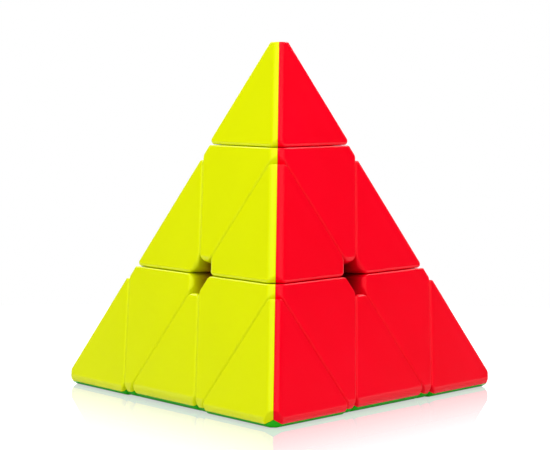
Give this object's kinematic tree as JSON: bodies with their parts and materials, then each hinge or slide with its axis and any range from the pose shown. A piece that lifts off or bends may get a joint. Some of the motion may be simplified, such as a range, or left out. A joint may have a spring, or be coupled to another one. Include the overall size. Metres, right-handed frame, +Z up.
{
  "type": "pyramid twisty puzzle",
  "caption": "Tetrahedral twisty puzzle in layers: coloured plastic corner tips, axial and edge pieces turn about a sprung core hidden inside.",
  "frame": {"origin": "centre of the puzzle, where the four corner axes cross", "axes": "+Z up through the top corner with the green face underneath, -Y towards the front corner, +X to the right with the red face"},
  "size_m": [0.0976, 0.0852, 0.0798],
  "materials": {
    "yellow_plastic": "satin moulded fluorescent yellow plastic",
    "red_plastic": "satin moulded red plastic",
    "blue_plastic": "satin moulded blue plastic",
    "green_plastic": "satin moulded green plastic",
    "black_plastic": "matt moulded black plastic",
    "steel": "bright zinc-plated steel"
  },
  "bodies": {
    "core": {"core": "black_plastic", "screw_top": "steel", "screw_front": "steel", "screw_left": "steel", "screw_right": "steel", "washer_top": "steel", "washer_front": "steel", "washer_left": "steel", "washer_right": "steel"},
    "axial_top": {"axial_base_top": "black_plastic", "spring_top": "steel", "axial_cap_top_blue": "blue_plastic", "axial_cap_top_red": "red_plastic", "axial_cap_top_yellow": "yellow_plastic"},
    "axial_front": {"axial_base_front": "black_plastic", "spring_front": "steel", "axial_cap_front_green": "green_plastic", "axial_cap_front_red": "red_plastic", "axial_cap_front_yellow": "yellow_plastic"},
    "axial_left": {"axial_base_left": "black_plastic", "spring_left": "steel", "axial_cap_left_green": "green_plastic", "axial_cap_left_blue": "blue_plastic", "axial_cap_left_yellow": "yellow_plastic"},
    "axial_right": {"axial_base_right": "black_plastic", "spring_right": "steel", "axial_cap_right_green": "green_plastic", "axial_cap_right_blue": "blue_plastic", "axial_cap_right_red": "red_plastic"},
    "tip_top": {"tip_base_top": "black_plastic", "tip_cap_top_blue": "blue_plastic", "tip_cap_top_red": "red_plastic", "tip_cap_top_yellow": "yellow_plastic"},
    "tip_front": {"tip_base_front": "black_plastic", "tip_cap_front_green": "green_plastic", "tip_cap_front_red": "red_plastic", "tip_cap_front_yellow": "yellow_plastic"},
    "tip_left": {"tip_base_left": "black_plastic", "tip_cap_left_green": "green_plastic", "tip_cap_left_blue": "blue_plastic", "tip_cap_left_yellow": "yellow_plastic"},
    "tip_right": {"tip_base_right": "black_plastic", "tip_cap_right_green": "green_plastic", "tip_cap_right_blue": "blue_plastic", "tip_cap_right_red": "red_plastic"},
    "edge_top_front": {"edge_top_front_red": "red_plastic", "edge_top_front_yellow": "yellow_plastic"},
    "edge_top_left": {"edge_top_left_blue": "blue_plastic", "edge_top_left_yellow": "yellow_plastic"},
    "edge_top_right": {"edge_top_right_blue": "blue_plastic", "edge_top_right_red": "red_plastic"},
    "edge_front_left": {"edge_front_left_green": "green_plastic", "edge_front_left_yellow": "yellow_plastic"},
    "edge_front_right": {"edge_front_right_green": "green_plastic", "edge_front_right_red": "red_plastic"},
    "edge_left_right": {"edge_left_right_green": "green_plastic", "edge_left_right_blue": "blue_plastic"}
  },
  "joints": [
    {"name": "turn_top", "type": "hinge", "parent": "core", "child": "axial_top", "pos_m": [0, 0, 0], "axis": [0, 0, 1], "continuous": true},
    {"name": "turn_front", "type": "hinge", "parent": "core", "child": "axial_front", "pos_m": [0, 0, 0], "axis": [0, -0.9428, -0.3333], "range_deg": [-360, 360]},
    {"name": "turn_left", "type": "hinge", "parent": "core", "child": "axial_left", "pos_m": [0, 0, 0], "axis": [-0.8165, 0.4714, -0.3333], "range_deg": [-360, 360]},
    {"name": "turn_right", "type": "hinge", "parent": "core", "child": "axial_right", "pos_m": [0, 0, 0], "axis": [0.8165, 0.4714, -0.3333], "range_deg": [-360, 360]},
    {"name": "tip_turn_top", "type": "hinge", "parent": "axial_top", "child": "tip_top", "pos_m": [0, 0, 0], "axis": [0, 0, 1], "continuous": true},
    {"name": "tip_turn_front", "type": "hinge", "parent": "axial_front", "child": "tip_front", "pos_m": [0, 0, 0], "axis": [0, -0.9428, -0.3333], "continuous": true},
    {"name": "tip_turn_left", "type": "hinge", "parent": "axial_left", "child": "tip_left", "pos_m": [0, 0, 0], "axis": [-0.8165, 0.4714, -0.3333], "continuous": true},
    {"name": "tip_turn_right", "type": "hinge", "parent": "axial_right", "child": "tip_right", "pos_m": [0, 0, 0], "axis": [0.8165, 0.4714, -0.3333], "continuous": true},
    {"name": "edge_top_front_turn", "type": "hinge", "parent": "axial_top", "child": "edge_top_front", "pos_m": [0, 0, 0], "axis": [0, -0.9428, -0.3333], "range_deg": [-360, 360]},
    {"name": "edge_top_left_turn", "type": "hinge", "parent": "axial_top", "child": "edge_top_left", "pos_m": [0, 0, 0], "axis": [-0.8165, 0.4714, -0.3333], "range_deg": [-360, 360]},
    {"name": "edge_top_right_turn", "type": "hinge", "parent": "axial_top", "child": "edge_top_right", "pos_m": [0, 0, 0], "axis": [0.8165, 0.4714, -0.3333], "range_deg": [-360, 360]},
    {"name": "edge_front_left_turn", "type": "hinge", "parent": "axial_front", "child": "edge_front_left", "pos_m": [0, 0, 0], "axis": [-0.8165, 0.4714, -0.3333], "range_deg": [-360, 360]},
    {"name": "edge_front_right_turn", "type": "hinge", "parent": "axial_right", "child": "edge_front_right", "pos_m": [0, 0, 0], "axis": [0, -0.9428, -0.3333], "range_deg": [-360, 360]},
    {"name": "edge_left_right_turn", "type": "hinge", "parent": "axial_left", "child": "edge_left_right", "pos_m": [0, 0, 0], "axis": [0.8165, 0.4714, -0.3333], "range_deg": [-360, 360]}
  ],
  "couplings": [
    {"joint": "edge_top_front_turn", "follows": "turn_front", "ratio": 1},
    {"joint": "edge_top_left_turn", "follows": "turn_left", "ratio": 1},
    {"joint": "edge_top_right_turn", "follows": "turn_right", "ratio": 1},
    {"joint": "edge_front_left_turn", "follows": "turn_left", "ratio": 1},
    {"joint": "edge_front_right_turn", "follows": "turn_front", "ratio": 1},
    {"joint": "edge_left_right_turn", "follows": "turn_right", "ratio": 1}
  ]
}
